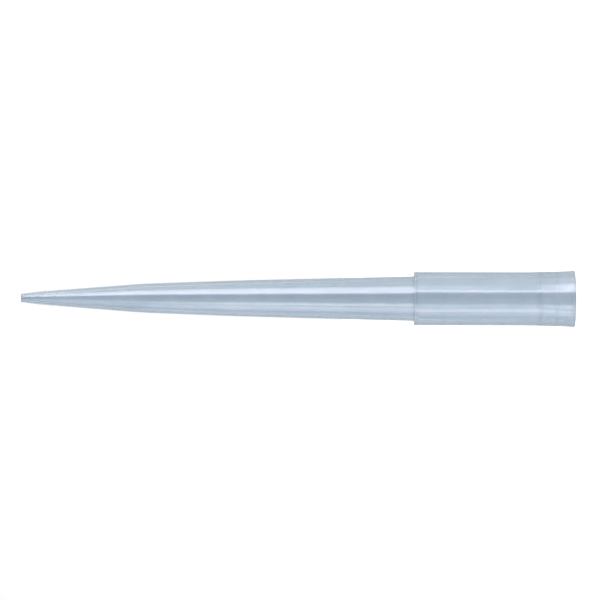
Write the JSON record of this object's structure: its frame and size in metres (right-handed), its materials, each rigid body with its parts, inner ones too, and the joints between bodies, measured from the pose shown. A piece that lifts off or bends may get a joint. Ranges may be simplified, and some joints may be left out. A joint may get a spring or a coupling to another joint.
{
  "type": "pipette tip",
  "caption": "Long tapered translucent plastic pipette tip with a stepped collar, a conical nozzle socket and a fine open end.",
  "frame": {"origin": "centre of the mouth's rim, on the plane that the tip stands on", "axes": "+Z along the tip's axis from the wide mouth to the dispensing end; the tip is round, so +X and +Y may point anywhere"},
  "size_m": [0.0092, 0.0092, 0.09],
  "materials": {
    "polypropylene": "translucent moulded polypropylene with a faint blue-grey cast, smooth and slightly milky"
  },
  "bodies": {
    "root": {"pipette_tip": "polypropylene"}
  },
  "joints": []
}
